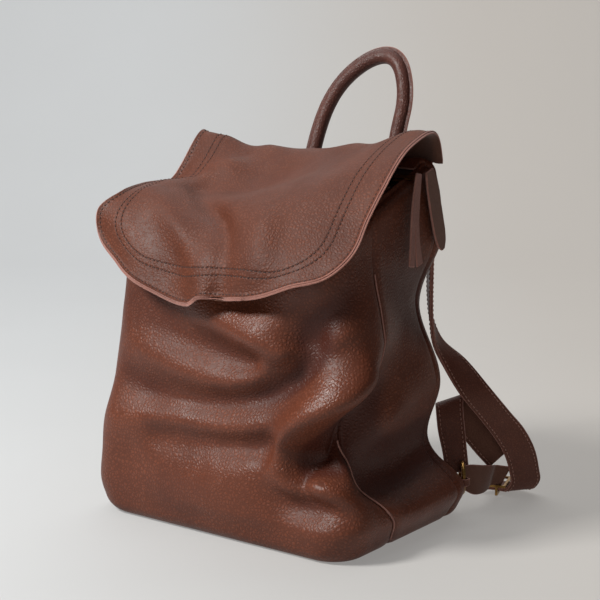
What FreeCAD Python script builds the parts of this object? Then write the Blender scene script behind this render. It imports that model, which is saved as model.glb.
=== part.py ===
"""Slouchy leather backpack with a flap, a rolled top handle and two shoulder straps.

Units are millimetres.  X runs across the bag, the front panel faces -Y, the wearer's back is
at +Y and +Z is up.  The origin is the centre of the underside of the base panel.
"""
import FreeCAD
import Part
import math
import os

V = FreeCAD.Vector

# ---------------------------------------------------------------- driving dimensions
WALL = 2.6                 # leather of the body panels
BASE_THICKNESS = 3.0
BOARD_THICKNESS = 2.0      # stiffener that lies inside on the base panel
BOARD_INSET = 8.0
FRONT_SEAM_Y = -48.0       # the side seams, where front and back panels meet the sides
BACK_SEAM_Y = 56.0

RIM_FRONT_Y = -100.0       # the top slopes up from the front rim to the back rim
RIM_FRONT_Z = 272.0
RIM_SLOPE = 0.425

ZIP_Y = 25.0               # the zip's line across the top
MOUTH_END = 124.0          # half length of the open mouth
LIP_AT_END = 18.0          # half width of the cut in the leather, at its ends and middle
LIP_AT_MIDDLE = 26.0
TAPE_WIDTH = 10.0          # tape that shows inside the cut
TAPE_HEM = 8.0             # tape sewn under the leather
TAPE_THICKNESS = 1.0
TOOTH = (2.0, 2.4, 2.2)
TOOTH_PITCH = 4.0
SLIDER = (14.0, 9.0, 7.0)
SLIDER_END = 123.0         # the slider stands at the right end of the mouth
PULLER = (26.0, 6.0, 1.6)
PULLER_OVERHANG = 14.0     # how far the puller reaches past the slider
THONG_X = 142.4            # the forked thong and the end tab hang beside the right side panel
THONG_THICKNESS = 2.4
END_TAB_X = 138.4
END_TAB_THICKNESS = 3.2

FLAP_LAYER = 1.8           # the flap is an outer leather and a facing
HINGE_Y = 60.0             # the flap folds along the back top edge
HINGE_Z = 349.0
YOKE_HALF_WIDTH = 138.0
YOKE_THICKNESS = 3.5
YOKE_TOP_Z = HINGE_Z + 1.5
YOKE_BOTTOM_Z = 326.0

HANDLE_RADIUS = 7.0
CORE_RADIUS = 4.6
CORE_CLEARANCE = 0.15
HANDLE_LEAN = math.radians(16)
HANDLE_FOOT = V(0, 80.0, 324.0)

PATCH_Y = (60.0, 75.5)     # patches on the back panel, cut back to the panel's own surface
HANDLE_TAB_HALF_WIDTH = 12.0
HANDLE_TAB_Z = (284.0, 312.0)
STRAP_ANCHOR_X = (83.0, 115.0)
STRAP_ANCHOR_Z = (292.0, 322.0)

STRAP_LAYER = 1.8          # shoulder straps are two layers, the adjusters one thicker layer
RING_MID_RADIUS = 14.5
RING_WIRE = 2.0
RING_CENTRE = V(143.0, 101.0, 32.0)
RING_TAB_TAIL = (26.0, 3.0)
RING_TAB_TURN = 221.0      # the tab's tail runs from the ring into the bag's lower corner
VIEW_TURN = math.radians(36)   # the ring stands in a vertical plane at this angle to YZ
EYE_RADIUS = 4.2
EYE_WALL = 1.8
EYE_HEIGHT = 6.0

# Outlines of the thong and the end tab, as (y, z) corners.
THONG_OUTLINE = [(8, 330), (18, 330), (20, 300), (33, 246), (24, 243), (15, 288), (11, 243),
                 (2, 246), (8, 300)]
END_TAB_OUTLINE = [(24, 332), (40, 332), (52, 300), (66, 276), (62, 262), (50, 266), (34, 300)]

# Height, then the front left, front right, back right and back left corners of the body's
# outline at that height, and the radius of each corner.
BODY_SECTIONS = [
    (0, (-149, -106), (148, -112), (150, 92), (-150, 92), (40, 34, 22, 22)),
    (32, (-156, -108), (152, -108), (151, 90), (-151, 90), (34, 30, 26, 26)),
    (65, (-156, -107), (146, -107), (144, 87), (-148, 87), (34, 32, 30, 30)),
    (110, (-150, -104), (141, -104), (136, 86), (-142, 86), (36, 34, 34, 34)),
    (160, (-142, -101), (140, -103), (133, 86), (-138, 86), (38, 34, 34, 34)),
    (205, (-136, -98), (141, -102), (131, 84), (-136, 84), (38, 34, 30, 30)),
    (250, (-125, -95), (134, -98), (135, 78), (-137, 78), (36, 32, 22, 22)),
    (300, (-120, -92), (128, -94), (137, 70), (-138, 70), (34, 30, 16, 16)),
    (360, (-118, -88), (126, -90), (136, 63), (-138, 63), (34, 30, 16, 16)),
]

# Rows of points on the flap's outer face, from the fold at the back to the free edge.
FLAP_ROWS = [
    [(-138, 57, 351), (-92, 57, 351), (-46, 57, 351), (0, 57, 351),
     (46, 57, 351), (92, 57, 351), (138, 57, 351)],
    [(-140, 28, 338), (-94, 28, 342), (-47, 28, 343), (0, 28, 343),
     (47, 28, 346), (95, 28, 352), (142, 28, 361)],
    [(-145, -10, 310), (-96, -10, 328), (-48, -10, 332), (0, -10, 331),
     (48, -10, 338), (97, -10, 347), (146, -10, 355)],
    [(-148, -48, 302), (-99, -50, 318), (-49, -50, 322), (0, -50, 318),
     (50, -50, 318), (98, -50, 326), (147, -48, 328)],
    [(-150, -80, 290), (-100, -86, 298), (-50, -86, 298), (0, -86, 292),
     (50, -86, 294), (98, -86, 302), (145, -80, 300)],
    [(-146, -102, 272), (-98, -112, 264), (-50, -115, 262), (2, -116, 256),
     (50, -115, 262), (97, -112, 270), (140, -98, 279)],
    [(-122, -110, 250), (-88, -118, 236), (-46, -120, 224), (4, -120, 222),
     (48, -120, 230), (92, -118, 244), (128, -106, 256)],
]

# Handle's centre line in its own leaning plane: across, then up from the feet.
HANDLE_ROUTE = [(-24, 0), (-23, 42), (-7, 88), (28, 116), (58, 116), (74, 78), (70, 38), (70, 0)]

# Right shoulder strap: the near edge and the far edge of the ribbon, from the top down to
# the turn on the floor and in to the buckle.
STRAP_EDGES = [
    ((109, 78, 306), (86, 96, 306)),
    ((108, 90, 286), (87, 111, 286)),
    ((106, 100, 262), (88, 124, 262)),
    ((105, 102, 232), (87, 126, 232)),
    ((106, 100, 202), (89, 124, 202)),
    ((108, 98, 180), (93, 123, 181)),
    ((110, 100, 160), (102, 127, 160)),
    ((117, 106, 137), (122, 133, 141)),
    ((130, 112, 108), (146, 136, 114)),
    ((140, 124, 84), (160, 143, 92)),
    ((150, 137, 65), (171, 157, 73)),
    ((158, 149, 47), (179, 170, 52)),
    ((163, 160, 28), (183, 182, 30)),
    ((163, 165, 15), (183, 187, 16)),
    ((157, 166, 6.5), (175, 189, 6.5)),
    ((147, 165, 6), (158, 192, 6)),
    ((131, 160, 6), (142, 187, 6)),
]
# Adjuster strap from the ring to the turn, standing on its edge: low edge, high edge.
ADJUSTER_EDGES = [
    ((143, 101, 21), (143, 100, 43)),
    ((148, 112, 14), (147, 109, 43)),
    ((150, 128, 11), (152, 124, 40)),
    ((148, 143, 11), (155, 139, 37)),
    ((145, 155, 12), (153, 152, 34)),
]
# The adjuster's slack: up behind the corner, over a fold, and down inside the loop.
TAIL_EDGES = [
    ((123, 99, 52), (141, 113, 52)),
    ((114, 104, 74), (134, 120, 74)),
    ((108, 110, 91), (128, 126, 97)),
    ((105, 114, 96), (126, 130, 105)),
    ((102, 119, 96), (123, 136, 105)),
    ((113, 128, 78), (131, 142, 97)),
    ((126, 137, 59), (144, 151, 78)),
    ((138, 145, 42), (156, 160, 60)),
]
BUCKLE_HALF = (9.0, 18.0)      # half length along the strap, half width across it
BUCKLE_BAR = 2.4
BUCKLE_PLAY = 1.2              # room between the strap and the bars


# ---------------------------------------------------------------- helpers
def save(name, shape):
    shape.exportStep(os.path.join("parts", name + ".step"))
    kind = "valid" if shape.isValid() else "NOT VALID"
    print("%-28s %10.1f mm3  %d solids  %s" % (name, shape.Volume, len(shape.Solids), kind))


def box(low, high):
    size = V(*high) - V(*low)
    return Part.makeBox(size.x, size.y, size.z, V(*low))


def rounded_outline(corners, radii, height):
    """Closed wire through four corners, each rounded with a tangent arc."""
    points = [V(x, y, height) for x, y in corners]
    count = len(points)
    edges = []
    tangents = []
    for i, corner in enumerate(points):
        to_last = (points[i - 1] - corner).normalize()
        to_next = (points[(i + 1) % count] - corner).normalize()
        half = to_last.getAngle(to_next) / 2
        reach = radii[i] / math.tan(half)
        middle = (to_last + to_next).normalize()
        arc_middle = corner + middle * (radii[i] / math.sin(half) - radii[i])
        tangents.append((corner + to_last * reach, arc_middle, corner + to_next * reach))
    for i, (start, arc_middle, end) in enumerate(tangents):
        edges.append(Part.Arc(start, arc_middle, end).toShape())
        edges.append(Part.LineSegment(end, tangents[(i + 1) % count][0]).toShape())
    return Part.Wire(edges)


def body_loft(inset):
    """Solid of the body's outline, moved inwards by inset all round."""
    wires = []
    for height, *rest in BODY_SECTIONS:
        corners = []
        for x, y in rest[:4]:
            corners.append((x - math.copysign(inset, x), y - math.copysign(inset, y)))
        radii = [radius - inset for radius in rest[4]]
        wires.append(rounded_outline(corners, radii, height))
    return Part.makeLoft(wires, True, False)


def rim_height(y):
    return RIM_FRONT_Z + RIM_SLOPE * (y - RIM_FRONT_Y)


def rim_placement():
    """Frame on the sloping top: X across, Y up the slope, Z out of the leather."""
    slope = FreeCAD.Rotation(V(1, 0, 0), math.degrees(math.atan(RIM_SLOPE)))
    return FreeCAD.Placement(V(0, ZIP_Y, rim_height(ZIP_Y)), slope)


def on_rim(shape):
    shape.Placement = rim_placement().multiply(shape.Placement)
    return shape


def mouth_half_width(x, extra):
    """Half width of the mouth at x, less extra."""
    bow = 1 - (x / MOUTH_END) ** 2
    return LIP_AT_END + (LIP_AT_MIDDLE - LIP_AT_END) * bow - extra


def mouth_band(side, outer, inner, low, high):
    """Curved strip beside the mouth on one side, between two offsets from the lip."""
    steps = [-MOUTH_END, -MOUTH_END / 2, 0, MOUTH_END / 2, MOUTH_END]
    curves = []
    for offset in (outer, inner):
        curve = Part.BSplineCurve()
        curve.interpolate([V(x, side * mouth_half_width(x, offset), low) for x in steps])
        curves.append(curve.toShape())
    face = Part.makeRuledSurface(curves[0], curves[1])
    return on_rim(face.extrude(V(0, 0, high - low)))


def surface_through(rows):
    surface = Part.BSplineSurface()
    surface.interpolate(rows)
    return surface.toShape()


def solid_between(face_a, face_b):
    """Close the gap between two faces of the same outline with ruled sides."""
    faces = [face_a, face_b]
    for edge_a, edge_b in zip(face_a.Edges, face_b.Edges):
        faces.append(Part.makeRuledSurface(edge_a, edge_b))
    return closed_solid(faces)


def closed_solid(faces):
    shell = Part.makeShell(faces)
    shell.sewShape()
    solid = Part.makeSolid(shell)
    if solid.Volume < 0:
        solid.reverse()
    return solid


def rounded_path(points):
    """Wire of straight runs joined by tangent arcs as large as the runs allow."""
    edges = []
    start = points[0]
    for before, corner, after in zip(points, points[1:], points[2:]):
        to_last = (before - corner).normalize()
        to_next = (after - corner).normalize()
        half = to_last.getAngle(to_next) / 2
        reach = 0.45 * min((before - corner).Length, (after - corner).Length)
        radius = reach * math.tan(half)
        middle = (to_last + to_next).normalize()
        arc_middle = corner + middle * (radius / math.sin(half) - radius)
        arc_start = corner + to_last * reach
        arc_end = corner + to_next * reach
        edges.append(Part.LineSegment(start, arc_start).toShape())
        edges.append(Part.Arc(arc_start, arc_middle, arc_end).toShape())
        start = arc_end
    edges.append(Part.LineSegment(start, points[-1]).toShape())
    return Part.Wire(edges)


def tube(path, radius):
    start = path.Vertexes[0].Point
    direction = path.Edges[0].tangentAt(path.Edges[0].FirstParameter)
    profile = Part.Wire(Part.makeCircle(radius, start, direction))
    return path.makePipeShell([profile], True, True)


def mirrored(shape):
    return shape.mirror(V(0, 0, 0), V(1, 0, 0))


def ribbon(edge_pairs, low, high):
    """Flat strap between two edge lines, from low to high along its own normal."""
    near = [V(*pair[0]) for pair in edge_pairs]
    far = [V(*pair[1]) for pair in edge_pairs]
    last = len(near) - 1
    sections = []
    for i in range(last + 1):
        before = near[max(i - 1, 0)] + far[max(i - 1, 0)]
        after = near[min(i + 1, last)] + far[min(i + 1, last)]
        normal = (after - before).cross(far[i] - near[i]).normalize()
        sections.append([near[i] + normal * low, far[i] + normal * low,
                         far[i] + normal * high, near[i] + normal * high])
    faces = []
    for end in (sections[0], sections[-1]):
        faces.append(Part.Face(Part.makePolygon(end + [end[0]])))
    for first, second in zip(sections, sections[1:]):
        for k in range(4):
            m = (k + 1) % 4
            edge_a = Part.LineSegment(first[k], first[m]).toShape()
            edge_b = Part.LineSegment(second[k], second[m]).toShape()
            faces.append(Part.makeRuledSurface(edge_a, edge_b))
    return closed_solid(faces)


# ---------------------------------------------------------------- body panels
def make_body():
    outer = body_loft(0)
    inner = body_loft(WALL)
    above = on_rim(Part.makeBox(500, 500, 300, V(-250, -250, 0)))
    above_inside = above.copy()
    above_inside.translate(V(0, 0, -WALL * math.hypot(1, RIM_SLOPE)))

    below_rim = outer.cut(above)
    base_zone = box((-250, -250, 0), (250, 250, BASE_THICKNESS))
    save("base_panel", below_rim.common(base_zone))

    top = below_rim.common(above_inside)
    mouth = mouth_band(1, 0, 2 * LIP_AT_END, -4 * WALL, 4 * WALL)
    mouth = mouth.fuse(mouth_band(-1, 0, 2 * LIP_AT_END, -4 * WALL, 4 * WALL))
    top = top.cut(mouth)
    behind_zip = box((-250, ZIP_Y, 0), (250, 250, 500))
    save("front_top_panel", top.cut(behind_zip))
    save("back_top_panel", top.common(behind_zip))

    walls = below_rim.cut(base_zone).cut(above_inside).cut(inner)
    front_zone = box((-250, -250, 0), (250, FRONT_SEAM_Y, 500))
    back_zone = box((-250, BACK_SEAM_Y, 0), (250, 250, 500))
    right_zone = box((0, -250, 0), (250, 250, 500))
    sides = walls.cut(front_zone).cut(back_zone)
    save("front_panel", walls.common(front_zone))
    save("back_panel", walls.common(back_zone))
    save("right_side_panel", sides.common(right_zone))
    save("left_side_panel", sides.cut(right_zone))

    board_low = BASE_THICKNESS
    board_zone = box((-250, -250, board_low), (250, 250, board_low + BOARD_THICKNESS))
    save("base_board", body_loft(BOARD_INSET).common(board_zone))
    return outer


# ---------------------------------------------------------------- zip
def make_zip():
    for name, side in (("front", -1), ("back", 1)):
        tape = mouth_band(side, -TAPE_HEM, TAPE_WIDTH, -WALL - TAPE_THICKNESS, -WALL)
        save("zip_tape_" + name, tape)
        teeth = []
        count = int(MOUTH_END / TOOTH_PITCH) - 1
        for step in range(-count, count + 1):
            x = step * TOOTH_PITCH
            edge = mouth_half_width(x, TAPE_WIDTH)
            near = edge - TOOTH[1] - 0.3
            low_y = min(side * near, side * (edge - 0.3))
            corner = V(x - TOOTH[0] / 2, low_y, -WALL - TAPE_THICKNESS / 2 - TOOTH[2] / 2)
            teeth.append(Part.makeBox(*TOOTH, corner))
        save("zip_teeth_" + name, on_rim(Part.makeCompound(teeth)))

    length, width, height = SLIDER
    slider = Part.makeBox(length, width, height, V(SLIDER_END - length, -width / 2, -WALL - height / 2))
    slider = slider.makeChamfer(1.2, slider.Edges)
    save("zip_slider", on_rim(slider))
    puller_low = height / 2 - WALL
    puller_end = SLIDER_END + PULLER_OVERHANG
    puller = Part.makeBox(*PULLER, V(puller_end - PULLER[0], -PULLER[1] / 2, puller_low))
    save("zip_puller", on_rim(puller))
    save("zip_pull_thong", hanging_sheet(THONG_OUTLINE, THONG_X, THONG_THICKNESS))
    save("zip_end_tab", hanging_sheet(END_TAB_OUTLINE, END_TAB_X, END_TAB_THICKNESS))


def hanging_sheet(outline, x, thickness):
    """Flat leather in a plane across X, from its outline of (y, z) corners."""
    corners = [V(x, y, z) for y, z in outline]
    return Part.Face(Part.makePolygon(corners + [corners[0]])).extrude(V(thickness, 0, 0))


# ---------------------------------------------------------------- flap and handle
def make_flap():
    rows = [[V(*point) for point in row] for row in FLAP_ROWS]
    normals = []
    for j, row in enumerate(rows):
        line = []
        for i in range(len(row)):
            along = rows[min(j + 1, len(rows) - 1)][i] - rows[max(j - 1, 0)][i]
            across = row[min(i + 1, len(row) - 1)] - row[max(i - 1, 0)]
            line.append(along.cross(across).normalize())
        normals.append(line)
    faces = []
    for depth in (0, FLAP_LAYER, 2 * FLAP_LAYER):
        moved = []
        for row, line in zip(rows, normals):
            moved.append([point - normal * depth for point, normal in zip(row, line)])
        faces.append(surface_through(moved))
    save("flap_shell", solid_between(faces[0], faces[1]))
    save("flap_facing", solid_between(faces[1], faces[2]))


def make_yoke(outer):
    """The sewn end of the flap: over the back top edge and down the back panel."""
    front = HINGE_Y + 4.0
    inner = HINGE_Y + 9.0
    back = inner + YOKE_THICKNESS
    under = YOKE_TOP_Z - 6.5
    profile = [(front, under), (front, YOKE_TOP_Z), (inner, YOKE_TOP_Z - 0.5), (back, YOKE_TOP_Z - 4.0),
               (back, YOKE_BOTTOM_Z), (inner, YOKE_BOTTOM_Z), (inner, under)]
    corners = [V(-YOKE_HALF_WIDTH, y, z) for y, z in profile]
    face = Part.Face(Part.makePolygon(corners + [corners[0]]))
    yoke = face.extrude(V(2 * YOKE_HALF_WIDTH, 0, 0)).cut(outer.common(below_rim_zone()))
    save("flap_yoke", yoke)


def below_rim_zone():
    zone = Part.makeBox(500, 500, 400, V(-250, -250, -400))
    return on_rim(zone)


def make_handle():
    up = V(0, math.sin(HANDLE_LEAN), math.cos(HANDLE_LEAN))
    points = [HANDLE_FOOT + V(x, 0, 0) + up * height for x, height in HANDLE_ROUTE]
    path = rounded_path(points)
    bore = tube(path, CORE_RADIUS + CORE_CLEARANCE)
    save("handle_cover", tube(path, HANDLE_RADIUS).cut(bore))
    save("handle_core", tube(path, CORE_RADIUS))


def make_back_tabs(outer):
    """Leather patches sewn on the back panel under the handle's feet and the straps."""
    for name, x in (("left_handle_tab", HANDLE_ROUTE[0][0]), ("right_handle_tab", HANDLE_ROUTE[-1][0])):
        low = (x - HANDLE_TAB_HALF_WIDTH, PATCH_Y[0], HANDLE_TAB_Z[0])
        high = (x + HANDLE_TAB_HALF_WIDTH, PATCH_Y[1], HANDLE_TAB_Z[1])
        save(name, box(low, high).cut(outer))
    low = (STRAP_ANCHOR_X[0], PATCH_Y[0], STRAP_ANCHOR_Z[0])
    high = (STRAP_ANCHOR_X[1], PATCH_Y[1], STRAP_ANCHOR_Z[1])
    anchor = box(low, high).cut(outer)
    save("right_strap_anchor", anchor)
    save("left_strap_anchor", mirrored(anchor))


# ---------------------------------------------------------------- shoulder straps
def make_ring():
    sideways = V(math.cos(VIEW_TURN), math.sin(VIEW_TURN), 0)
    return Part.makeTorus(RING_MID_RADIUS, RING_WIRE, RING_CENTRE, sideways)


def ring_pivot():
    """Centre of the ring's wire where the tab's eye holds it."""
    inward = V(math.sin(VIEW_TURN), -math.cos(VIEW_TURN), 0)
    return RING_CENTRE + inward * RING_MID_RADIUS


def make_ring_tab(outer):
    pivot = ring_pivot()
    low = pivot - V(0, 0, EYE_HEIGHT / 2)
    eye = Part.makeCylinder(EYE_RADIUS + EYE_WALL, EYE_HEIGHT, low)
    length, thickness = RING_TAB_TAIL
    tail = Part.makeBox(length, thickness, EYE_HEIGHT, V(0, -thickness / 2, 0))
    tail.Placement = FreeCAD.Placement(low, FreeCAD.Rotation(V(0, 0, 1), RING_TAB_TURN))
    hole = Part.makeCylinder(EYE_RADIUS, EYE_HEIGHT, low)
    return eye.fuse(tail).cut(hole).cut(outer).removeSplitter()


def make_buckle():
    """Three-bar slider: two bars over the strap, one under it, joined by side rails."""
    near_a, far_a = (V(*point) for point in STRAP_EDGES[-2])
    near_b, far_b = (V(*point) for point in STRAP_EDGES[-1])
    centre = (near_a + far_a + near_b + far_b) * 0.25
    along = (near_b + far_b - near_a - far_a).normalize()
    half_length, half_width = BUCKLE_HALF
    gap = STRAP_LAYER + BUCKLE_PLAY
    bars = []
    for offset in (-half_length, half_length - BUCKLE_BAR):
        bars.append(box((offset, -half_width, gap), (offset + BUCKLE_BAR, half_width, gap + BUCKLE_BAR)))
    bars.append(box((-BUCKLE_BAR / 2, -half_width, -gap - BUCKLE_BAR), (BUCKLE_BAR / 2, half_width, -gap)))
    for side in (-1, 1):
        inner = side * (half_width - BUCKLE_BAR)
        low_y, high_y = sorted((inner, side * half_width))
        bars.append(box((-half_length, low_y, gap), (half_length, high_y, gap + BUCKLE_BAR)))
        bars.append(box((-BUCKLE_BAR / 2, low_y, -gap - BUCKLE_BAR), (BUCKLE_BAR / 2, high_y, gap)))
    buckle = bars[0].multiFuse(bars[1:]).removeSplitter()
    turn = math.degrees(math.atan2(along.y, along.x))
    buckle.Placement = FreeCAD.Placement(centre, FreeCAD.Rotation(V(0, 0, 1), turn))
    return buckle


def make_straps(outer):
    pieces = {
        "shoulder_strap_lining": ribbon(STRAP_EDGES, 0, STRAP_LAYER),
        "shoulder_strap_outer": ribbon(STRAP_EDGES, -STRAP_LAYER, 0),
        "adjuster_strap": ribbon(ADJUSTER_EDGES, -STRAP_LAYER / 2, STRAP_LAYER / 2),
        "strap_tail": ribbon(TAIL_EDGES, -STRAP_LAYER / 2, STRAP_LAYER / 2),
        "strap_buckle": make_buckle(),
        "ring": make_ring(),
        "ring_tab": make_ring_tab(outer),
    }
    for name, shape in pieces.items():
        save("right_" + name, shape)
        save("left_" + name, mirrored(shape).cut(outer))


os.makedirs("parts", exist_ok=True)
body = make_body()
make_zip()
make_flap()
make_yoke(body)
make_handle()
make_back_tabs(body)
make_straps(body)
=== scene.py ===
"""Slouchy leather backpack: its soft pieces, materials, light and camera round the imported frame.

Lengths are millimetres until a mesh is made.  X runs across the bag, the front faces -Y, the
wearer's back is at +Y and +Z is up.  The origin is the centre of the underside.
"""
import math
import bpy
import numpy as np
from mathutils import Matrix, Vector
from mathutils import noise


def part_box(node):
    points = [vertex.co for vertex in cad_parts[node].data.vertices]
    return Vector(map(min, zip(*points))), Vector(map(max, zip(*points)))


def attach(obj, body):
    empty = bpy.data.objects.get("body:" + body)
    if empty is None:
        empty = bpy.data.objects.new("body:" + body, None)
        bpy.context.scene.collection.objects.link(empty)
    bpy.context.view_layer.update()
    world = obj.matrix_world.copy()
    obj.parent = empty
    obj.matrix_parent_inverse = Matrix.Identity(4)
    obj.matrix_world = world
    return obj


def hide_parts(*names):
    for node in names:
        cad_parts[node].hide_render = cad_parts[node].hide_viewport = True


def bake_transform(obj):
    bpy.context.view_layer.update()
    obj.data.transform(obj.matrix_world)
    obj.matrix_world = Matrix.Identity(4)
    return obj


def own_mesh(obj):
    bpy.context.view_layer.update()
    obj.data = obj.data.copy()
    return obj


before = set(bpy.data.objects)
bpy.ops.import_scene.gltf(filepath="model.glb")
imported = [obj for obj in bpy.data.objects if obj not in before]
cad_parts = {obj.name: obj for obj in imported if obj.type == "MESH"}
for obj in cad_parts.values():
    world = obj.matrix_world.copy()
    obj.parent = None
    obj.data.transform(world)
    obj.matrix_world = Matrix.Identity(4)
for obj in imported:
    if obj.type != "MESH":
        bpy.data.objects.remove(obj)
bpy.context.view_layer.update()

MM = 0.001

# ---------------------------------------------------------------- camera and stage
TARGET = (-8, 41, 200)
VIEW_AZIMUTH = math.radians(36.0)
VIEW_ELEVATION = math.radians(9.1)
VIEW_DISTANCE = 1384
FIELD_OF_VIEW = math.radians(24.0)
SENSOR_WIDTH = 36
RIGHTWARD = np.array([math.cos(VIEW_AZIMUTH), math.sin(VIEW_AZIMUTH), 0])
TOWARDS = np.array([math.sin(VIEW_AZIMUTH), -math.cos(VIEW_AZIMUTH), 0])
UP = np.array([0, 0, 1])
STAGE_MIDDLE = np.array([0, 0, 180])
STAGE_REACH = 3000.0
STAGE_DEPTH = 1700.0
STAGE_BEND = 900.0
# Each light's name, its place and its aim as steps to the right, towards the viewer and up from
# the stage's middle, then its size, its watts and its colour.
LIGHTS = [
    ("window", (-1350, 700, 1350), (0, 0, 0), (500, 500), 52, (1.0, 0.985, 0.96)),
    ("ceiling", (200, -300, 1900), (0, 0, 0), (1800, 1800), 7, (0.96, 0.98, 1.0)),
    ("room", (300, 1900, 500), (0, 0, 0), (1200, 1200), 2.5, (1.0, 0.95, 0.9)),
    ("backdrop", (-100, -1500, 2300), (-350, -2500, 300), (3400, 500), 36, (1.0, 1.0, 1.0)),
]

# ---------------------------------------------------------------- driving dimensions
PANEL_THICKNESS = 2.2
BOTTOM_ROUND = 12.0        # radius between the walls and the base
RIM_ROUND = 9.0            # radius between the walls and the top
RIM_FRONT_Y = -100.0       # the top slopes up from the front rim to the back rim
RIM_FRONT_Z = 272.0
RIM_SLOPE = 0.425
ZIP_Y = 25.0               # the zip's line across the top
MOUTH_END = 124.0          # half length of the zip's mouth
LIP_AT_END = 18.0          # half width of the mouth, at its ends and middle
LIP_AT_MIDDLE = 26.0
LIP_DRAW = 0.955           # the lips' x as a share of the rim's
LIP_LIFT = 0.4
TOP_LIFT = 2.2             # how far the gathered top stands up between rim and lips
PUCKERS = ((1.0, 13.0, 0.0), (0.6, 7.3, 1.0))    # size, length and phase of the gathers' waves
PUCKER_SHARE = 0.6         # how much the gathers change the lift
BASE_CENTRE = np.array([0.0, -10.0, 1.2])
BASE_REACH = 0.96          # the base's rows come this share of the way in to its centre
FAR_SIDE = 100.0           # the side panels' seams lie beyond this x

CELLS = (132, 56, 96, 44)      # columns of the front, right, back and left panels
STARTS = np.concatenate([[0], np.cumsum(CELLS)])    # the seams' columns, and the whole count
SEAM_CROWDING = 0.44       # how far a panel's columns draw together beside its seams
LEVEL_STEP = 5.0           # spacing of the outlines that the walls are drawn through
CORNER_POINTS = 24
ROUND_ROWS = 7             # rows of points round the lower edge, and round the rim
WALL_ROWS = 112            # rows between them
TOP_ROWS = 22              # rows from the rim in to the lips
BASE_ROWS = 14

FOLD_STEP = 9.0            # spacing of the points that hold the folds' lines
FOLD_DEPTH = 1.25
FOLD_SMOOTHING = 70.0
FOLD_FULL = 9.0            # rise at which a fold counts as a full ridge
FOLD_OVERLAP = 150.0       # the unrolled wall's ends repeat each other's points this far
HOLD_STEP = 40.0           # spacing of the points that hold the base and the rim in shape
FLOOR_EASE = 30.0          # the folds fade over this height above the floor
RIM_EASE = 25.0            # and below the rim, where this share of them is left
RIM_SHARE = 0.3
SEAM_DIPS = ((2.4, 2.2), (0.8, 7.0))    # depth and half width of the leather's dips at a seam
SEAM_DIP_COLUMNS = 8
LUMPS = ((1.2, 55.0), (0.5, 22.0))    # height and size of the leather's slow unevenness
SEAM_EDGES = (("upper", 150, 246), ("lower", 8, 102))     # heights where a turned edge shows
SEAM_EDGE_RADIUS = 0.75
SEAM_EDGE_STANDOFF = 2.0

FLAP_HALF_WIDTH = 140.0
FLAP_LENGTH = 243.0        # from the fold line to the front edge
FLAP_CORNER = 80.0
FLAP_SEWN = 22.0           # the part behind the fold line, sewn on the back
FLAP_LAYER = 1.7
FLAP_SMOOTHING = 40.0
FLAP_FOLD_WIDTH = 13.0
CURL_WIDTH = 7.0           # the flap's free edge curls up over this width
CURL_RISE = 2.6
FACING_MARGIN = 0.6        # the facing reaches this far past the outer leather
YOKE_THICKNESS = 2.0
YOKE_SPAN = (-133, 121)
YOKE_PROFILE = [(67.0, 350.0), (71.5, 346.0), (73.0, 340.0), (73.5, 333.0), (73.5, 326.0)]
# How far the yoke's upper edge is moved to follow the flap's sagging crest, across the bag.
YOKE_CREST = ([-133, -90, -55, 0, 52, 121], [2, -5, -8, -9, -4, 4])

STRAP_LAYER = 1.8          # from the middle of a shoulder strap to its face
STRAP_JOIN = 0.05          # from the middle to where its leather and its lining start
THIN_STRAP_HALF = 1.0      # half thickness of the adjusters, the strap tails and the thong
END_TAB_HALF = 1.2
HANDLE_RADIUS = 7.0
FIN_REACHES = (-1.0, 0.8, 2.5)    # rows of the handle's sewn fin, past the handle's radius
FIN_HALF = 1.1
PATCH_THICKNESS = 2.4
PATCH_SEAT = 0.3           # the patches' middles lie this far inside their boxes
PATCH_DOME = 4.0           # and their edges this much deeper
PATCH_DOME_WIDTH = 6.0
PATCH_PULL = 8.0           # the handle draws its patches up and out
PATCH_PULL_REACH = 14.0
RING_TAB_EYE = (151.5, 89.3)
RING_TAB_RADIUS = 5.0
RING_TAB_HALF = 0.9

STITCH_PITCH = 4.4
STITCH_LENGTH = 3.2
THREAD_RADIUS = 0.5
STITCH_SIDES = 6
EDGE_STITCH_INSET = 3.2    # the row beside the flap's edge
STITCH_INSETS = (25.0, 33.0)      # the flap's double row
STRAP_STITCH_INSET = 2.6
# A stitch's rings: place along it as a share of its length, then size and lift in thread radii.
STITCH_PROFILE = [(-0.5, 0.35, -0.5), (-0.32, 0.9, 0.1), (0, 1.0, 0.35), (0.32, 0.9, 0.1), (0.5, 0.35, -0.5)]

# Height, the four corners of the outline there (front left, front right, back right, back
# left) and the radius of each corner.
BODY_SECTIONS = [
    (0, (-149, -106), (148, -112), (150, 92), (-150, 92), (40, 34, 22, 22)),
    (32, (-157, -109), (152, -109), (151, 90), (-151, 90), (34, 30, 26, 26)),
    (65, (-153, -108), (146, -108), (144, 87), (-147, 87), (34, 32, 30, 30)),
    (110, (-147, -104), (141, -104), (136, 86), (-142, 86), (36, 34, 34, 34)),
    (160, (-142, -101), (140, -103), (133, 86), (-138, 86), (38, 34, 34, 34)),
    (205, (-140, -98), (141, -102), (131, 84), (-136, 84), (38, 34, 30, 30)),
    (250, (-130, -95), (134, -98), (135, 78), (-137, 78), (36, 32, 22, 22)),
    (300, (-120, -92), (128, -94), (137, 70), (-138, 70), (34, 30, 16, 16)),
    (360, (-118, -88), (126, -90), (136, 63), (-138, 63), (34, 30, 16, 16)),
]
# Height and Y of the seams between the front panel and the side panels.
LEFT_SEAM = [(0, -80), (65, -88), (110, -84), (150, -75), (200, -60), (300, -50), (360, -48)]
RIGHT_SEAM = [(0, -35), (27, -48), (60, -70), (97, -82), (140, -60), (186, -38), (241, -39), (360, -42)]
BACK_SEAM = [(0, 62), (100, 58), (360, 54)]

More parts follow.
